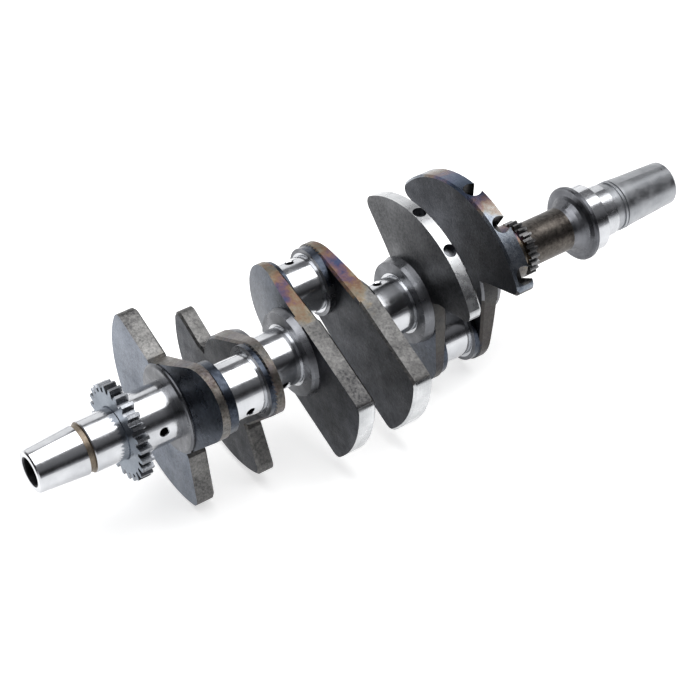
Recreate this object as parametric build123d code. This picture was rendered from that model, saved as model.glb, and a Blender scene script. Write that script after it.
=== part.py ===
from build123d import *
import os
from math import asin, cos, radians, sin

# Three-throw forged crankshaft with plain journals, 120 degrees between pins.
# The rotation axis is X.  The origin is on it, mid-length of the middle crankpin.
# Angles about the axis are measured from +Y towards +Z.

# Throws and journals (mm)
PITCH = 78.6
THROW = 34.85
MAIN_R = 17.25
PIN_R = 17.0
MAIN_LEN = 23.4
PIN_LEN = 20.4
WEB = 17.4
PIN_ANGLES = (141.6, 21.6, -98.4)
OUTER_FACE_X = PITCH + PIN_LEN / 2 + WEB
ROOT_R = 1.6
ROOT_LAND = 0.5

# Webs
LAND_R = 25.5
LAND_FOOT_R = 26.8
PIN_LAND_R = 21.0
HUB_R = 27.0
BOSS_R = 22.0
LOBE_TIP = 5.5
BEVEL_START_R = 21.5
BEVEL_FLAT_Y = 8.0
EDGE = 1.3
CORNER_R = 6.0

# Taper, drive gear seat and shaft at the power take-off end (X stations, then radii)
PTO_END = -190.0
PTO_TAPER_X = -161.2
PTO_GROOVE_X = -157.4
GEAR_NEAR_X = -138.0
GEAR_FAR_X = -130.6
PTO_TIP_R = 12.6
PTO_TAPER_R = 14.6
PTO_GROOVE_R = 13.7
SEAT_R = 15.2
PTO_BORE_R = 8.1
PTO_BORE_DEPTH = 38.0
END_CHAMFER = 0.8

# Magneto end
MAIN4_END_X = 133.8
RELIEF_END_X = 136.4
SPROCKET_END_X = 142.6
SHAFT_END_X = 172.4
FLARE_END_X = 181.0
FLANGE_END_X = 184.4
RING_END_X = 194.8
RING_GAP = 0.6
SEAL_LAND_END_X = 206.4
NECK_END_X = 212.2
COLLAR_END_X = 216.2
MAG_END = 255.9
SHAFT_R = 13.8
FLANGE_R = 23.6
RING_SEAT_R = 17.4
RING_R = 21.2
SEAL_LAND_R = 16.5
NECK_R = 15.2
COLLAR_R = 16.0
MAG_TAPER_R = 15.8
MAG_TIP_R = 13.7
MAG_THREAD_R = 5.1
MAG_THREAD_DEPTH = 34.0

# Hobbed sprocket and drive gear
SPROCKET_TEETH = 22
SPROCKET_TIP_R = 17.2
SPROCKET_ROOT_R = 14.6
GEAR_TEETH = 26
GEAR_TIP_R = 28.6
GEAR_ROOT_R = 24.2

# Oil drillings, gallery plugs, gear lock pin and magneto key
OIL_R = 2.5
GALLERY_R = 2.2
PLUG_R = 3.4
PLUG_LEN = 5.0
PLUG_SUNK = 11.0
LOCK_PIN_R = 1.5
LOCK_PIN_LEN = 6.0
LOCK_PIN_GAP = 0.7
LOCK_PIN_SUNK = 0.2
LOCK_PIN_ANGLE = 100.0
KEY_WIDTH = 4.0
KEY_DISC_R = 8.0
KEY_DISC_DEPTH = 4.6
KEY_PROUD = 1.5
KEY_X = 234.8
KEY_ANGLE = -60.0

# Webs, pin straight up: counterweight kind, tip radius, gap between the pin's end and
# the forged face, forged thickness, then for a fan the two half angles from straight
# down and the two shoulder points, and for a paddle its half width and lean.  The first
# of each pair lies on the side of increasing angle about the shaft.
WEBS = (
    ("fan", 62.0, 4.6, 11.8, (76.0, 70.5), ((30.0, 0.5), (-29.0, -2.5))),
    ("fan", 59.0, 2.2, 9.8, (82.0, 53.0), ((30.0, -2.0), (-23.0, -24.0))),
    ("paddle", 65.5, 1.6, 11.6, 29.0, 0.0),
    ("paddle", 65.5, 4.0, 11.6, 29.0, -1.0),
    ("fan", 64.4, 2.8, 8.6, (35.0, 78.0), ((18.5, -28.0), (-31.0, -12.0))),
    ("fan", 64.4, 3.0, 11.0, (53.0, 76.0), ((21.0, -26.0), (-31.0, -10.0))),
)

# Balance drillings in the rims of webs 5 and 6: web index, X, angle, radius, depth
BALANCE_HOLES = (
    (4, 61.3, 92.9, 4.0, 5.0),
    (4, 61.3, 119.9, 4.0, 5.0),
    (5, 98.6, 93.0, 5.4, 11.0),
    (5, 98.6, 118.4, 5.4, 11.0),
    (5, 98.6, 146.9, 5.4, 11.0),
)

# Radial oil holes on the journals: X station (or throw number) and angle
MAIN_OIL = (
    (-117.3, 171.2),
    (-39.3, 198.0),
    (39.3, 70.4),
)
PIN_OIL = (
    (0, 193.9),
    (1, 71.9),
    (2, -48.0),
)


def polar(radius, angle):
    return (radius * cos(radians(angle)), radius * sin(radians(angle)))


def pin_x(throw):
    return (throw - 1) * PITCH


def pin_centre(throw):
    y, z = polar(THROW, PIN_ANGLES[throw])
    return (pin_x(throw), y, z)


def web_span(index):
    """X of the pin-side face and of the main-side face of a web."""
    side = -1 if index % 2 == 0 else 1
    pin_face = pin_x(index // 2) + side * PIN_LEN / 2
    return pin_face, pin_face + side * WEB


def turned(points):
    """Solid of revolution about the X axis from (x, radius) points."""
    profile = Polyline((points[0][0], 0), *points, (points[-1][0], 0), close=True)
    face = make_face(Plane.XZ * profile)
    return revolve(face, Axis.X, 360)


def rod(x_from, x_to, radius, y=0.0, z=0.0):
    """Cylinder parallel to X between two stations."""
    start = min(x_from, x_to)
    plane = Plane(origin=(start, y, z), x_dir=(0, 1, 0), z_dir=(1, 0, 0))
    return extrude(plane * Circle(radius), abs(x_to - x_from))


def journal(x_from, x_to, radius, y=0.0, z=0.0):
    """Ground journal with a raised root land and relief groove at each end."""
    body = rod(x_from, x_to, radius, y, z)
    for end, step in ((x_from, 1), (x_to, -1)):
        body += rod(end, end + step * ROOT_LAND, radius + ROOT_R, y, z)
        inner = end + step * (ROOT_LAND + 1.0)
        ring = rod(end + step * ROOT_LAND, inner, radius + 1, y, z)
        body -= ring - rod(end, inner + step, radius - 0.35, y, z)
    return body


def fan_outline(tip_r, spread, shoulders, side):
    """Sector counterweight with rounded tips; side is +1 or -1 for its hand."""
    first, second = spread
    start = (side * tip_r * sin(radians(first)), -tip_r * cos(radians(first)))
    end = (-side * tip_r * sin(radians(second)), -tip_r * cos(radians(second)))
    lean = (first - second) / 2
    low = (side * tip_r * sin(radians(lean)), -tip_r * cos(radians(lean)))
    rim = ThreePointArc(start, low, end)
    near, far = [(side * x, y) for x, y in shoulders]
    sides = Polyline(end, far, (0, 0), near, start)
    face = make_face(Curve() + [rim, sides])
    tips = [v for v in face.vertices() if abs(Vector(*v).length - tip_r) < 0.01]
    return fillet(tips, CORNER_R)


def paddle_outline(tip_r, half_width, lean, side):
    """Parallel-sided counterweight with an arc end."""
    strip = Pos(0, -tip_r / 2) * Rectangle(2 * half_width, tip_r)
    shape = strip & Circle(tip_r)
    tips = [v for v in shape.vertices() if v.Y < -tip_r / 2]
    return Rot(0, 0, -side * lean) * fillet(tips, CORNER_R)


def neck_outline():
    """Pin boss and hub joined by their common tangents, pin straight up."""
    tilt = asin((HUB_R - BOSS_R) / THROW)
    c, s = cos(tilt), sin(tilt)
    hub = (HUB_R * c, HUB_R * s)
    boss = (BOSS_R * c, THROW + BOSS_R * s)
    neck = Polygon(hub, boss, (-boss[0], boss[1]), (-hub[0], hub[1]), align=None)
    return neck + Circle(HUB_R) + Pos(0, THROW) * Circle(BOSS_R)


def web_plane(x, angle, towards):
    """Plane square to the shaft with its local Y towards the given pin angle."""
    up = (0, cos(radians(angle)), sin(radians(angle)))
    normal = Vector(towards, 0, 0)
    return Plane(origin=(x, 0, 0), x_dir=Vector(*up).cross(normal), z_dir=normal)


def half_space(from_y, towards):
    """Large block on one side of a line of constant local Y."""
    return Pos(0, from_y + towards * 60, 0) * Box(240, 120, 120)


def cone_cutter(inner_r, inner_z, outer_r, outer_z, top):
    """Everything above a conical surface that falls away from the shaft axis."""
    side = Polyline(
        (inner_r, inner_z),
        (outer_r, outer_z),
        (100, outer_z),
        (100, top),
        (inner_r, top),
        close=True,
    )
    return revolve(make_face(Plane.XZ * side), Axis.Z, 360)


def bevel_cutter(thickness):
    """Cone that thins the pin lobe on the main-journal side of the web."""
    cone = cone_cutter(
        BEVEL_START_R, thickness, THROW + BOSS_R, LOBE_TIP, thickness + 5
    )
    return cone & half_space(BEVEL_FLAT_Y, 1)


def web(index):
    """One web: neck, counterweight, bevelled lobe and the raised lands of both journals."""
    kind, tip_r, pin_gap, thickness, spread, rest = WEBS[index]
    throw = index // 2
    pin_face, main_face = web_span(index)
    towards = 1 if main_face > pin_face else -1
    if kind == "fan":
        weight = fan_outline(tip_r, spread, rest, -towards)
    else:
        weight = paddle_outline(tip_r, spread, rest, towards)
    blank = extrude(neck_outline() + weight, thickness)
    blank -= bevel_cutter(thickness)
    lower = blank.faces().sort_by(Axis.Z)[0]
    blank = chamfer(lower.outer_wire().edges(), EDGE)
    start = pin_face + towards * pin_gap
    solid = web_plane(start, PIN_ANGLES[throw], towards).location * blank
    _, y, z = pin_centre(throw)
    solid += rod(pin_face, start + towards, PIN_LAND_R, y, z)
    return solid + main_land(main_face, start + towards * thickness, towards)


def main_land(main_face, forged_face, towards):
    """Thrust land round a main journal, on a cone that spreads to the forged face."""
    rise = main_face - forged_face
    points = [
        (main_face, LAND_R),
        (main_face - 0.4 * rise, LAND_R + 0.6),
        (forged_face, LAND_FOOT_R),
        (forged_face - towards, LAND_FOOT_R),
    ]
    return turned(points if towards < 0 else points[::-1])


def pto_end():
    """Bored taper, relief groove and gear seat at the power take-off end."""
    return turned(
        (
            (PTO_END, PTO_TIP_R - END_CHAMFER),
            (PTO_END + END_CHAMFER, PTO_TIP_R),
            (PTO_TAPER_X, PTO_TAPER_R),
            (PTO_TAPER_X + 0.4, PTO_GROOVE_R),
            (PTO_GROOVE_X - 0.4, PTO_GROOVE_R),
            (PTO_GROOVE_X, SEAT_R - 0.4),
            (PTO_GROOVE_X + 0.6, SEAT_R),
            (GEAR_FAR_X, SEAT_R),
            (GEAR_FAR_X, MAIN_R - 0.6),
            (GEAR_FAR_X + 0.6, MAIN_R),
            (1 - OUTER_FACE_X, MAIN_R),
        )
    )


def magneto_end():
    """Shaft, sprocket blank, flange, ring seat, seal land and magneto taper."""
    flare = FLARE_END_X - SHAFT_END_X
    steps = [radians(a) for a in (15, 35, 55, 75)]
    flare_points = [
        (SHAFT_END_X + flare * sin(a), SHAFT_R + flare * 0.75 * (1 - cos(a)))
        for a in steps
    ]
    return turned(
        (
            (OUTER_FACE_X - 1, MAIN_R),
            (MAIN4_END_X - 0.6, MAIN_R),
            (MAIN4_END_X, MAIN_R - 0.6),
            (MAIN4_END_X, SHAFT_R - 0.3),
            (RELIEF_END_X, SHAFT_R - 0.3),
            (RELIEF_END_X, SPROCKET_ROOT_R),
            (SPROCKET_END_X, SPROCKET_ROOT_R),
            (SPROCKET_END_X, SHAFT_R),
            (SHAFT_END_X, SHAFT_R),
            *flare_points,
            (FLARE_END_X, FLANGE_R - 0.8),
            (FLARE_END_X + 0.8, FLANGE_R),
            (FLANGE_END_X - 0.6, FLANGE_R),
            (FLANGE_END_X, FLANGE_R - 0.6),
            (FLANGE_END_X, RING_SEAT_R),
            (RING_END_X, RING_SEAT_R),
            (RING_END_X, SEAL_LAND_R - RING_GAP),
            (RING_END_X + RING_GAP, SEAL_LAND_R),
            (SEAL_LAND_END_X - 0.5, SEAL_LAND_R),
            (SEAL_LAND_END_X, SEAL_LAND_R - 0.5),
            (SEAL_LAND_END_X, NECK_R),
            (NECK_END_X, NECK_R),
            (NECK_END_X, COLLAR_R),
            (NECK_END_X + 1.4, COLLAR_R),
            (NECK_END_X + 1.7, COLLAR_R - 0.8),
            (NECK_END_X + 2.3, COLLAR_R - 0.8),
            (NECK_END_X + 2.6, COLLAR_R),
            (COLLAR_END_X, COLLAR_R),
            (COLLAR_END_X, MAG_TAPER_R),
            (MAG_END - 1.4, MAG_TIP_R + 0.2),
            (MAG_END, MAG_TIP_R - 1.0),
        )
    )


def tooth_ring(count, root_r, tip_r, x_from, x_to, root_fill, tip_fill):
    """Ring of trapezoid teeth; the fills are tooth widths as parts of the pitch."""
    half = 180 / count
    teeth = []
    inner_r = root_r - 0.6
    for k in range(count):
        mid = k * 2 * half
        teeth.append(
            Polygon(
                polar(inner_r, mid - half * root_fill),
                polar((root_r + tip_r) / 2, mid - half * (root_fill + tip_fill) * 0.54),
                polar(tip_r, mid - half * tip_fill),
                polar(tip_r, mid + half * tip_fill),
                polar((root_r + tip_r) / 2, mid + half * (root_fill + tip_fill) * 0.54),
                polar(inner_r, mid + half * root_fill),
                align=None,
            )
        )
    outline = Circle(root_r) + teeth
    plane = Plane(origin=(x_from, 0, 0), x_dir=(0, 1, 0), z_dir=(1, 0, 0))
    return extrude(plane * outline, x_to - x_from)


def radial_hole(x, y, z, angle, radius, r_from, r_to, rim=0.0):
    """Cutter along a radius at a station, with an optional countersunk mouth."""
    axis = (0, cos(radians(angle)), sin(radians(angle)))
    start = Vector(x, y, z) + Vector(*axis) * r_from
    cutter = Plane(origin=start, z_dir=axis) * Cylinder(
        radius, r_to - r_from, align=(Align.CENTER, Align.CENTER, Align.MIN)
    )
    if rim > 0:
        mouth = Vector(x, y, z) + Vector(*axis) * (rim - 1.0)
        cutter += Plane(origin=mouth, z_dir=axis) * Cone(
            radius - 0.4, radius + 1.4, 1.8, align=(Align.CENTER, Align.CENTER, Align.MIN)
        )
    return cutter


def gallery_line(throw):
    """Start on the far web's bevel and direction of a throw's oil gallery."""
    angle = PIN_ANGLES[throw]
    start_r = THROW + 11.0
    start_x = pin_x(throw) + PIN_LEN / 2 + WEB
    end_x = pin_x(throw) - (PIN_LEN / 2 + WEB + MAIN_LEN / 2)
    y, z = polar(start_r, angle)
    start = Vector(start_x, y, z)
    return start, (Vector(end_x, 0, 0) - start)


def along(start, direction, radius, length):
    plane = Plane(origin=start, z_dir=direction)
    return plane * Cylinder(
        radius, length, align=(Align.CENTER, Align.CENTER, Align.MIN)
    )


def plug_start(throw):
    """Seat of the gallery plug, just under the bevelled face of the lobe."""
    start, direction = gallery_line(throw)
    return start + direction.normalized() * PLUG_SUNK, direction.normalized()


def gallery_cutter(throw):
    start, direction = gallery_line(throw)
    cutter = along(start, direction, GALLERY_R, direction.length)
    seat, unit = plug_start(throw)
    return cutter + along(start, unit, PLUG_R, (seat - start).length + PLUG_LEN)


def lock_pin():
    """Small pin set in the shaft beside the gear, sunk just below the surface."""
    radial = Vector(0, cos(radians(LOCK_PIN_ANGLE)), sin(radians(LOCK_PIN_ANGLE)))
    x = GEAR_NEAR_X - LOCK_PIN_GAP - LOCK_PIN_R
    foot = SEAT_R - LOCK_PIN_SUNK - LOCK_PIN_LEN
    return along(Vector(x, 0, 0) + radial * foot, radial, LOCK_PIN_R, LOCK_PIN_LEN)


def crankshaft_forging():
    solid = pto_end() + magneto_end()
    for index in range(len(WEBS)):
        solid += web(index)
    for throw in range(len(PIN_ANGLES)):
        x, y, z = pin_centre(throw)
        solid += journal(x - PIN_LEN / 2, x + PIN_LEN / 2, PIN_R, y, z)
    for middle in (-PITCH / 2, PITCH / 2):
        solid += journal(middle - MAIN_LEN / 2, middle + MAIN_LEN / 2, MAIN_R)
    solid += tooth_ring(
        SPROCKET_TEETH,
        SPROCKET_ROOT_R,
        SPROCKET_TIP_R,
        RELIEF_END_X,
        SPROCKET_END_X,
        0.62,
        0.26,
    )
    for x, angle in MAIN_OIL:
        solid -= radial_hole(x, 0, 0, angle, OIL_R, -2, MAIN_R + 3, MAIN_R)
    for throw, angle in PIN_OIL:
        x, y, z = pin_centre(throw)
        solid -= radial_hole(x, y, z, angle, OIL_R, -2, PIN_R + 3, PIN_R)
        solid -= gallery_cutter(throw)
    for index, x, angle, radius, depth in BALANCE_HOLES:
        tip_r = WEBS[index][1]
        solid -= radial_hole(x, 0, 0, angle, radius, tip_r - depth, tip_r + 5)
    solid -= rod(PTO_END - 1, PTO_END + PTO_BORE_DEPTH, PTO_BORE_R)
    solid -= bore_mouth()
    solid -= rod(MAG_END + 1, MAG_END - MAG_THREAD_DEPTH, MAG_THREAD_R)
    solid -= woodruff_disc()
    return solid


def bore_mouth():
    """Countersink of the power take-off bore."""
    return turned(
        (
            (PTO_END - 1, PTO_BORE_R + 2 * END_CHAMFER),
            (PTO_END, PTO_BORE_R + END_CHAMFER),
            (PTO_END + END_CHAMFER, PTO_BORE_R),
        )
    )


def woodruff_disc():
    """Half-moon seat in the magneto taper; the key fills it."""
    across = (0, -sin(radians(KEY_ANGLE)), cos(radians(KEY_ANGLE)))
    wall = MAG_TAPER_R - 1.0
    y, z = polar(wall + KEY_DISC_R - KEY_DISC_DEPTH, KEY_ANGLE)
    plane = Plane(origin=(KEY_X, y, z), z_dir=across)
    return plane * Cylinder(KEY_DISC_R, KEY_WIDTH)


def magneto_woodruff_key():
    top = MAG_TAPER_R - 1.0 + KEY_PROUD
    y, z = polar(top, KEY_ANGLE)
    radial = (0, cos(radians(KEY_ANGLE)), sin(radians(KEY_ANGLE)))
    above = Plane(origin=(KEY_X, y, z), z_dir=radial) * Box(
        40, 40, 20, align=(Align.CENTER, Align.CENTER, Align.MIN)
    )
    return woodruff_disc() - above


def balancer_drive_gear():
    gear = tooth_ring(
        GEAR_TEETH, GEAR_ROOT_R, GEAR_TIP_R, GEAR_NEAR_X, GEAR_FAR_X, 0.66, 0.28
    )
    gear -= rod(GEAR_NEAR_X - 1, GEAR_FAR_X + 1, SEAT_R)
    lead_in = turned(
        (
            (GEAR_NEAR_X - 1, SEAT_R + 1.8),
            (GEAR_NEAR_X, SEAT_R + 0.8),
            (GEAR_NEAR_X + 0.8, SEAT_R),
        )
    )
    return gear - lead_in


def bearing_inner_ring():
    """Bearing race pressed against the flange, with rounded outer corners."""
    ring = rod(FLANGE_END_X, RING_END_X, RING_R) - rod(
        FLANGE_END_X - 1, RING_END_X + 1, RING_SEAT_R
    )
    rims = ring.edges().filter_by(GeomType.CIRCLE).filter_by(
        lambda e: abs(e.radius - RING_R) < 0.01
    )
    return chamfer(rims, 0.8)


def oil_gallery_plug(throw):
    """Pressed plug with a dished outer end."""
    seat, unit = plug_start(throw)
    plug = along(seat, unit, PLUG_R, PLUG_LEN)
    return plug - along(seat, unit, PLUG_R - 1.2, 1.6)


def write(name, shape):
    export_step(shape, f"parts/{name}.step")


def main():
    os.makedirs("parts", exist_ok=True)
    write("crankshaft_forging", crankshaft_forging() - lock_pin())
    write("balancer_drive_gear", balancer_drive_gear())
    write("gear_lock_pin", lock_pin())
    write("bearing_inner_ring", bearing_inner_ring())
    write("magneto_woodruff_key", magneto_woodruff_key())
    for throw in range(len(PIN_ANGLES)):
        write(f"oil_gallery_plug_{throw + 1}", oil_gallery_plug(throw))


main()
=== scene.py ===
"""Looks for a one-piece forged crankshaft with its gear, ring, key, lock pin and plugs."""
import math

import bpy
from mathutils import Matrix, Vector


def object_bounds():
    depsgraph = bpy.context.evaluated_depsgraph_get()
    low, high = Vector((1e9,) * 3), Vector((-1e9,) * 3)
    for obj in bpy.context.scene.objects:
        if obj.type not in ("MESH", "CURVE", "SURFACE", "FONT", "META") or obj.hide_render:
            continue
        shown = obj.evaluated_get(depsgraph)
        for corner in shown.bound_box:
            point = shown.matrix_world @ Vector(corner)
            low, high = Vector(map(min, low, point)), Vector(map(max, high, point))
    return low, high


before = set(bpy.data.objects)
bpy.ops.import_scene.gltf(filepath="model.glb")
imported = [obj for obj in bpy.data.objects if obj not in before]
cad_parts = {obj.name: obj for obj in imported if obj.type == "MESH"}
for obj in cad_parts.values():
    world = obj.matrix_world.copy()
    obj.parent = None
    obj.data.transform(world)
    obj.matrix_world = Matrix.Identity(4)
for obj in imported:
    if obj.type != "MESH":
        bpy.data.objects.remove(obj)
start_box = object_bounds()

# Stations and radii of the shaft, in metres, in the CAD frame
MM = 0.001
PITCH = 78.6 * MM
THROW = 34.85 * MM
PIN_ANGLES = (141.6, 21.6, -98.4)
PIN_HALF = 10.2 * MM
WEB = 17.4 * MM
MAIN_LAND_R = 26.9 * MM
LAND_RISE = 6.5 * MM
PIN_LAND_R = 21.3 * MM
MAIN_R = 17.25 * MM
PIN_R = 17.0 * MM
TIP_R = (62.0 * MM, 59.0 * MM, 65.5 * MM, 65.5 * MM, 64.4 * MM, 64.4 * MM)
BORE_R = 8.1 * MM
TAPER_END = -161.2 * MM
GROOVE_END = -157.4 * MM
RELIEF_END = 136.4 * MM
SPROCKET_END = 142.6 * MM
SHAFT_END = 172.4 * MM
FLANGE_END = 184.4 * MM
LAND_END = 206.4 * MM
OUTER_WEB_FACE = PITCH + PIN_HALF + WEB

# How a face is told apart from its neighbours
TOL = 0.15 * MM
JOURNAL_BAND = 2.2 * MM
RIM_DEPTH = 1.5 * MM
DRILLED_RIM_DEPTH = 8.0 * MM
FLAT = 0.97
SQUARE = 0.9985
GEAR_FLAT = 0.7

# Webs 3 to 6 have turned rims; web 5 is drilled and web 6 is heat tinted
FIRST_TURNED_RIM = 2
DRILLED_WEB = 4
TINTED_WEB = 5

# Camera
CAMERA_AT = (-0.44532, -0.66277, 0.70608)
CAMERA_TO = (0.00404, -0.01722, 0.0)
LENS = 95.9
SENSOR = 36.0

# Studio: name, place, point aimed at, size and power of each softbox
SOFTBOXES = (
    ("overhead", (0.05, 0.08, 1.05), (0.0, 0.0, 0.0), (1.8, 1.0), 19.0),
    ("far_fill", (0.30, 1.25, 0.42), (0.0, 0.0, 0.05), (2.4, 0.75), 7.0),
)
FLOOR_SIZE = 3.0
FLOOR_PLACE = (0, 0.2)
FLOOR_GAP = 0.5 * MM
FLOOR_GLOW = 0.62
ROOM = (0.045, 0.046, 0.050, 1.0)
ROOM_IN_STEEL = ((0.14, 0.06), (0.30, 0.02), (0.55, 0.16))
HORIZON_IN_STEEL = (0.42, 0.42, 0.44, 1.0)
CEILING_IN_STEEL = (0.30, 0.30, 0.31, 1.0)

# Temper colours of heated steel, from the hottest place outwards
TEMPER = (
    (0.05, (0.050, 0.075, 0.125)),
    (0.32, (0.032, 0.044, 0.105)),
    (0.50, (0.105, 0.060, 0.085)),
    (0.64, (0.165, 0.092, 0.050)),
    (0.80, (0.230, 0.185, 0.115)),
    (0.95, (0.200, 0.195, 0.185)),
)


# ---------------------------------------------------------------- materials
class Build:
    """A node material under construction, in CAD-frame object coordinates."""

    def __init__(self, name):
        self.mat = bpy.data.materials.new(name)
        self.mat.use_nodes = True
        self.tree = self.mat.node_tree
        self.bsdf = self.tree.nodes["Principled BSDF"]
        self.coord = self.add("ShaderNodeTexCoord").outputs["Object"]

    def add(self, kind, **values):
        node = self.tree.nodes.new(kind)
        for key, value in values.items():
            setattr(node, key, value)
        return node

    def link(self, a, b):
        self.tree.links.new(a, b)

    def stretched(self, scale):
        node = self.add("ShaderNodeMapping")
        node.inputs["Scale"].default_value = scale
        self.link(self.coord, node.inputs["Vector"])
        return node.outputs[0]

    def noise(self, scale, detail=4.0, rough=0.55, vector=None):
        node = self.add("ShaderNodeTexNoise")
        node.inputs["Scale"].default_value = scale
        node.inputs["Detail"].default_value = detail
        node.inputs["Roughness"].default_value = rough
        self.link(vector or self.coord, node.inputs["Vector"])
        return node.outputs["Fac"]

    def ramp(self, fac, stops):
        node = self.add("ShaderNodeValToRGB")
        band = node.color_ramp
        while len(band.elements) < len(stops):
            band.elements.new(0.5)
        for element, (place, colour) in zip(band.elements, stops):
            element.position = place
            element.color = (*colour, 1.0)
        self.link(fac, node.inputs[0])
        return node.outputs[0]

    def remap(self, value, lo, hi, to_lo, to_hi):
        node = self.add("ShaderNodeMapRange")
        for key, number in zip(
            ("From Min", "From Max", "To Min", "To Max"), (lo, hi, to_lo, to_hi)
        ):
            node.inputs[key].default_value = number
        self.link(value, node.inputs["Value"])
        return node.outputs[0]

    def math(self, kind, a, b):
        node = self.add("ShaderNodeMath", operation=kind)
        for socket, value in zip(node.inputs, (a, b)):
            if isinstance(value, (int, float)):
                socket.default_value = value
            else:
                self.link(value, socket)
        return node.outputs[0]

    def blend(self, first, second, share):
        """Two patterns added, the first taking the given share."""
        part = self.math("MULTIPLY", first, share)
        rest = self.math("MULTIPLY", second, 1.0 - share)
        return self.math("ADD", part, rest)

    def mix(self, fac, a, b):
        node = self.add("ShaderNodeMix", data_type="RGBA")
        self.link(fac, node.inputs[0])
        self.link(a, node.inputs[6])
        self.link(b, node.inputs[7])
        return node.outputs[2]

    def rings(self, per_metre):
        """Fine lines round the X axis, as a grinding wheel or a tool leaves them."""
        return self.noise(1.0, 6.0, 0.7, self.stretched((per_metre, 6.0, 6.0)))

    def distance(self, point):
        node = self.add("ShaderNodeVectorMath", operation="DISTANCE")
        node.inputs[1].default_value = point
        self.link(self.coord, node.inputs[0])
        return node.outputs["Value"]

    def finish(self, colour, rough, height, depth):
        """Bare metal with the given colour, roughness and depth of relief."""
        self.link(colour, self.bsdf.inputs["Base Color"])
        self.link(rough, self.bsdf.inputs["Roughness"])
        self.bsdf.inputs["Metallic"].default_value = 1.0
        bump = self.add("ShaderNodeBump")
        bump.inputs["Strength"].default_value = 1.0
        bump.inputs["Distance"].default_value = depth
        self.link(height, bump.inputs["Height"])
        self.link(bump.outputs[0], self.bsdf.inputs["Normal"])
        return self.mat


def ground(name, dark, light, rough, depth=1.5e-6, lines=9000.0):
    """Ground or polished steel with fine lines round the axis and faint handling marks."""
    b = Build(name)
    scratches = b.rings(lines)
    cloud = b.noise(60.0, 5.0)
    colour = b.ramp(b.blend(cloud, scratches, 0.6), ((0.35, dark), (0.65, light)))
    smear = b.remap(b.noise(140.0, 6.0, 0.65), 0.35, 0.7, rough * 0.75, rough * 1.5)
    return b.finish(colour, smear, scratches, depth)


def heat_tint(b, point, reach, strength):
    """Temper colours that fade away from a point, broken up by noise."""
    wander = b.remap(b.noise(70.0, 5.0, 0.65), 0.25, 0.75, -0.4, 0.4)
    far = b.math("ADD", b.math("DIVIDE", b.distance(point), reach), wander)
    return b.ramp(far, TEMPER), b.remap(far, 0.60, 1.05, strength, 0.0)


def forged(name, dark, light, rough, grain, depth, tint=None):
    """As-forged, shot-blasted steel: grain, blotches, oil sheen and optional temper colours."""
    b = Build(name)
    grit = b.noise(grain, 6.0, 0.7)
    blotch = b.noise(38.0, 5.0, 0.6)
    colour = b.ramp(b.blend(grit, blotch, 0.55), ((0.36, dark), (0.62, light)))
    if tint:
        shade, mask = heat_tint(b, *tint)
        colour = b.mix(mask, colour, shade)
    shine = b.remap(b.noise(90.0, 5.0), 0.3, 0.7, rough * 0.8, rough * 1.25)
    return b.finish(colour, shine, grit, depth)


def floor_material():
    """Plain white floor, bright enough to leave only faint shadows."""
    b = Build("floor_white")
    shade = b.ramp(b.noise(3.0, 2.0), ((0.0, (0.80, 0.80, 0.80)), (1.0, (0.83, 0.83, 0.83))))
    b.link(shade, b.bsdf.inputs["Base Color"])
    b.bsdf.inputs["Roughness"].default_value = 0.9
    b.bsdf.inputs["Specular IOR Level"].default_value = 0.0
    b.bsdf.inputs["Emission Color"].default_value = (1.0, 1.0, 1.0, 1.0)
    b.bsdf.inputs["Emission Strength"].default_value = FLOOR_GLOW
    return b.mat


# Ground and turned finishes: name, dark and light tone, roughness, relief, lines per metre
GROUND_FINISHES = {
    "polished": ("journal_polished", (0.42, 0.43, 0.45), (0.60, 0.61, 0.63), 0.15, 5e-7),
    "ground": ("land_ground", (0.42, 0.43, 0.45), (0.60, 0.61, 0.63), 0.22, 8e-7),
    "machined": ("rim_turned", (0.34, 0.35, 0.36), (0.66, 0.67, 0.68), 0.28, 1.2e-5, 3200.0),
    "satin": ("taper_satin", (0.24, 0.25, 0.265), (0.42, 0.43, 0.45), 0.36, 3e-6, 5200.0),
    "flange": (
        "flange_turned", (0.060, 0.062, 0.070), (0.18, 0.185, 0.20), 0.32, 5e-6, 4200.0
    ),
    "thrust": ("thrust_land", (0.07, 0.073, 0.080), (0.20, 0.205, 0.22), 0.30, 3e-6, 5200.0),
}

# Places where the steel was heated: point, reach and strength of the temper colours
MAIN_4_TINT = ((0.118, 0.0, 0.02), 0.03, 0.6)
RIM_6_TINT = ((0.0976, 0.005, 0.064), 0.034, 0.75)

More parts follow.
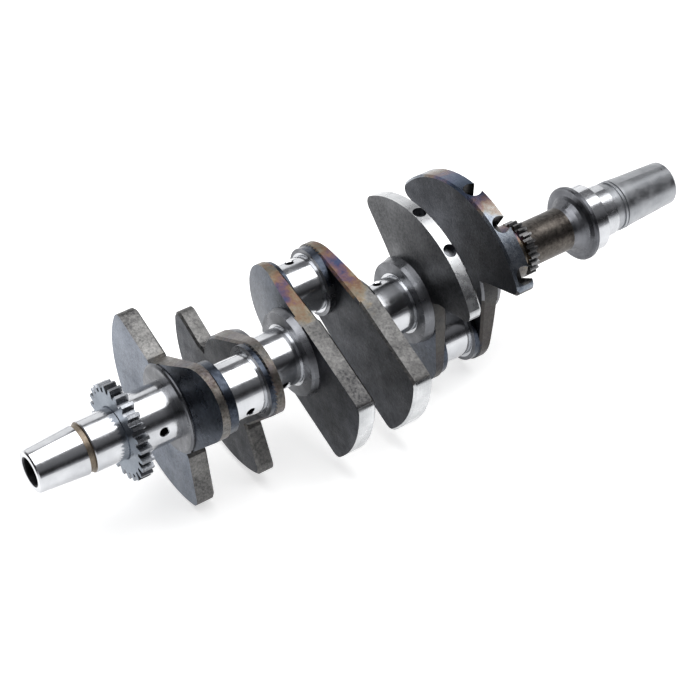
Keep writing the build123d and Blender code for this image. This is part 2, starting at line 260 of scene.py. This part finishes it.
# Forged and dark finishes: name, dark and light tone, roughness, grain, relief, tint
FORGED_FINISHES = {
    "main4": (
        "main_4_darkened",
        (0.05, 0.048, 0.05), (0.16, 0.145, 0.13), 0.26, 900.0, 6e-6, MAIN_4_TINT,
    ),
    "groove": ("groove_brown", (0.09, 0.07, 0.055), (0.26, 0.22, 0.17), 0.40, 1600.0, 8e-6),
    "shaft": (
        "shaft_scaled", (0.022, 0.019, 0.017), (0.125, 0.112, 0.100), 0.36, 420.0, 9e-5
    ),
    "tooth": (
        "sprocket_teeth", (0.06, 0.058, 0.058), (0.26, 0.26, 0.265), 0.32, 1500.0, 8e-6
    ),
    "bore": ("drilled_bore", (0.015, 0.015, 0.017), (0.05, 0.05, 0.055), 0.5, 1400.0, 1e-5),
    "blue_rim": (
        "rim_6_heat_tinted",
        (0.050, 0.065, 0.090), (0.24, 0.26, 0.29), 0.26, 500.0, 1e-5, RIM_6_TINT,
    ),
    "bevel": (
        "lobe_bevel_blued", (0.016, 0.020, 0.028), (0.072, 0.084, 0.108), 0.28, 420.0, 2.5e-5
    ),
    "face": (
        "web_face_forged", (0.009, 0.010, 0.013), (0.050, 0.054, 0.065), 0.44, 620.0, 1.6e-4
    ),
    "face_near": (
        "web_1_face_forged", (0.060, 0.072, 0.095), (0.18, 0.205, 0.25), 0.36, 700.0, 8e-5
    ),
    "face_turned": (
        "web_5_face_turned", (0.030, 0.031, 0.034), (0.130, 0.132, 0.138), 0.36, 620.0, 9e-5
    ),
}

# Edges of the webs, first to sixth: lightness, and strength of the temper colours
EDGE_LIGHT = (0.20, 0.17, 0.15, 0.15, 0.065, 0.065)
EDGE_TINT = (0.20, 0.20, 0.80, 0.80, 0.06, 0.06)
EDGE_DARK = (0.030, 0.030, 0.032)
EDGE_TINT_REACH = 0.042
EDGE_TINT_HEIGHT = 0.75


def pin_centre(throw):
    angle = math.radians(PIN_ANGLES[throw])
    return Vector(((throw - 1) * PITCH, THROW * math.cos(angle), THROW * math.sin(angle)))


def web_middle(index):
    side = -1 if index % 2 == 0 else 1
    return (index // 2 - 1) * PITCH + side * (PIN_HALF + WEB / 2)


def edge_material(index):
    """Forged edge of a web, tinted where its neck leaves the pin boss."""
    heated = pin_centre(index // 2) * EDGE_TINT_HEIGHT
    heated.x = web_middle(index)
    tone = EDGE_LIGHT[index]
    light = (tone, tone * 0.985, tone * 0.96)
    tint = (tuple(heated), EDGE_TINT_REACH, EDGE_TINT[index])
    return forged(f"web_{index + 1}_edge_tinted", EDGE_DARK, light, 0.42, 620.0, 2.0e-4, tint)


def forging_materials():
    made = {key: ground(*values) for key, values in GROUND_FINISHES.items()}
    made.update({key: forged(*values) for key, values in FORGED_FINISHES.items()})
    for index in range(len(TIP_R)):
        made[f"edge_{index}"] = edge_material(index)
    return made


# ------------------------------------------------- which finish goes on which face
def nearest_web(x):
    return min(range(len(TIP_R)), key=lambda k: abs(x - web_middle(k)))


def pin_distance(x, y, z):
    """Distance from the axis of the pin that serves this station."""
    if abs(x) > OUTER_WEB_FACE + TOL:
        return 1.0
    centre = pin_centre(nearest_web(x) // 2)
    return math.hypot(y - centre.y, z - centre.z)


def on_web(x, normal, radius, to_pin):
    """Finish of a face on one of the six webs."""
    index = nearest_web(x)
    offset = abs(x - web_middle(index))
    if abs(normal.x) > FLAT:
        if offset > WEB / 2 - TOL:
            return "thrust"
        if abs(normal.x) < SQUARE:
            return "bevel"
        if index == DRILLED_WEB and normal.x < 0:
            return "face_turned"
        return "face_near" if index == 0 and normal.x < 0 else "face"
    if radius > TIP_R[index] - RIM_DEPTH and index >= FIRST_TURNED_RIM:
        return "blue_rim" if index == TINTED_WEB else "machined"
    if index == DRILLED_WEB and radius > TIP_R[index] - DRILLED_RIM_DEPTH:
        return "thrust"
    if radius < MAIN_LAND_R and offset > WEB / 2 - LAND_RISE:
        return "thrust"
    if to_pin < PIN_LAND_R:
        return "bevel"
    return f"edge_{index}"


def on_shaft_end(x, radius):
    """Finish of the shaft outside the outermost webs."""
    if x < -OUTER_WEB_FACE:
        if x < TAPER_END:
            return "polished"
        return "groove" if x < GROOVE_END else "polished"
    for end, finish in (
        (RELIEF_END, "main4"),
        (SPROCKET_END, "tooth"),
        (SHAFT_END, "shaft"),
        (FLANGE_END, "flange"),
        (LAND_END, "ground"),
    ):
        if x < end + TOL:
            return finish
    return "satin"


def finish_of(centre, normal):
    """Finish of one face of the forging, from its centre and its normal."""
    x, y, z = centre
    radius = math.hypot(y, z)
    outward = (y * normal.y + z * normal.z) / max(radius, 1e-6)
    to_pin = pin_distance(x, y, z)
    if abs(x) > OUTER_WEB_FACE + TOL:
        inside = outward < -0.5 or radius < BORE_R + 0.2 * MM
        return "bore" if inside else on_shaft_end(x, radius)
    if abs(x - web_middle(nearest_web(x))) > WEB / 2 + TOL:
        on_pin = abs(to_pin - PIN_R) < JOURNAL_BAND
        on_main = abs(radius - MAIN_R) < JOURNAL_BAND
        return "polished" if on_pin or on_main else "bore"
    return on_web(x, normal, radius, to_pin)


def paint(node, *materials):
    """Give a CAD node its materials, and return its mesh."""
    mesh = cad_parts[node].data
    mesh.materials.clear()
    for material in materials:
        mesh.materials.append(material)
    return mesh


def paint_forging():
    made = forging_materials()
    names = sorted(made)
    mesh = paint("crankshaft_forging", *(made[name] for name in names))
    for polygon in mesh.polygons:
        polygon.material_index = names.index(finish_of(polygon.center, polygon.normal))


def paint_gear():
    """Satin blue-grey faces, and darker teeth and bore."""
    face = forged(
        "gear_satin_blue", (0.085, 0.105, 0.135), (0.20, 0.235, 0.28), 0.32, 1300.0, 6e-6
    )
    flank = forged(
        "gear_flanks_dark", (0.05, 0.055, 0.065), (0.30, 0.31, 0.33), 0.28, 900.0, 6e-6
    )
    mesh = paint("balancer_drive_gear", face, flank)
    for polygon in mesh.polygons:
        polygon.material_index = 0 if abs(polygon.normal.x) > GEAR_FLAT else 1


def paint_ring():
    steel = ground("ring_ground", (0.46, 0.47, 0.49), (0.64, 0.65, 0.67), 0.16)
    paint("bearing_inner_ring", steel)


def paint_lock_pin():
    steel = ground("dowel_ground", (0.10, 0.10, 0.11), (0.30, 0.30, 0.32), 0.25)
    paint("gear_lock_pin", steel)


def paint_key():
    steel = forged(
        "key_machined", (0.20, 0.20, 0.21), (0.42, 0.42, 0.43), 0.30, 1500.0, 6e-6
    )
    paint("magneto_woodruff_key", steel)


def paint_plug(number):
    steel = forged(
        f"plug_{number}_pressed", (0.22, 0.22, 0.23), (0.46, 0.46, 0.48), 0.28, 1500.0, 6e-6
    )
    paint(f"oil_gallery_plug_{number}", steel)


# ------------------------------------------------------------------ studio
def stage_floor(below):
    bpy.ops.mesh.primitive_plane_add(size=FLOOR_SIZE, location=(*FLOOR_PLACE, below))
    floor = bpy.context.object
    floor.name = "studio_floor"
    floor.data.materials.append(floor_material())


def studio():
    """Dark room that polished steel sees as soft grey near the horizon."""
    world = bpy.data.worlds.new("studio_dark")
    world.use_nodes = True
    tree = world.node_tree
    coord = tree.nodes.new("ShaderNodeTexCoord")
    split = tree.nodes.new("ShaderNodeSeparateXYZ")
    ramp = tree.nodes.new("ShaderNodeValToRGB")
    path = tree.nodes.new("ShaderNodeLightPath")
    mix = tree.nodes.new("ShaderNodeMix")
    mix.data_type = "RGBA"
    band = ramp.color_ramp
    for place, grey in ROOM_IN_STEEL:
        element = band.elements.new(place)
        element.color = (grey, grey, grey * 1.05, 1.0)
    band.elements[0].color = HORIZON_IN_STEEL
    band.elements[-1].color = CEILING_IN_STEEL
    mix.inputs[6].default_value = ROOM
    tree.links.new(coord.outputs["Generated"], split.inputs[0])
    tree.links.new(split.outputs["Z"], ramp.inputs[0])
    tree.links.new(path.outputs["Is Glossy Ray"], mix.inputs[0])
    tree.links.new(ramp.outputs[0], mix.inputs[7])
    tree.links.new(mix.outputs[2], tree.nodes["Background"].inputs[0])
    return world


def aim(obj, place, target):
    """Put a light or camera at a place, looking at a target, and link it to the scene."""
    look = Vector(target) - Vector(place)
    obj.location = place
    obj.rotation_euler = look.to_track_quat("-Z", "Y").to_euler()
    bpy.context.scene.collection.objects.link(obj)


def softbox(name, place, target, size, power):
    data = bpy.data.lights.new(name, "AREA")
    data.shape = "RECTANGLE"
    data.size, data.size_y = size
    data.energy = power
    lamp = bpy.data.objects.new(name, data)
    aim(lamp, place, target)


def camera():
    data = bpy.data.cameras.new("camera")
    data.lens = LENS
    data.sensor_width = SENSOR
    cam = bpy.data.objects.new("camera", data)
    aim(cam, CAMERA_AT, CAMERA_TO)
    bpy.context.scene.camera = cam


paint_forging()
paint_gear()
paint_ring()
paint_lock_pin()
paint_key()
for number in (1, 2, 3):
    paint_plug(number)

stage_floor(start_box[0][2] - FLOOR_GAP)
for box in SOFTBOXES:
    softbox(*box)
camera()
bpy.context.scene.world = studio()
bpy.context.scene.view_settings.view_transform = "Standard"
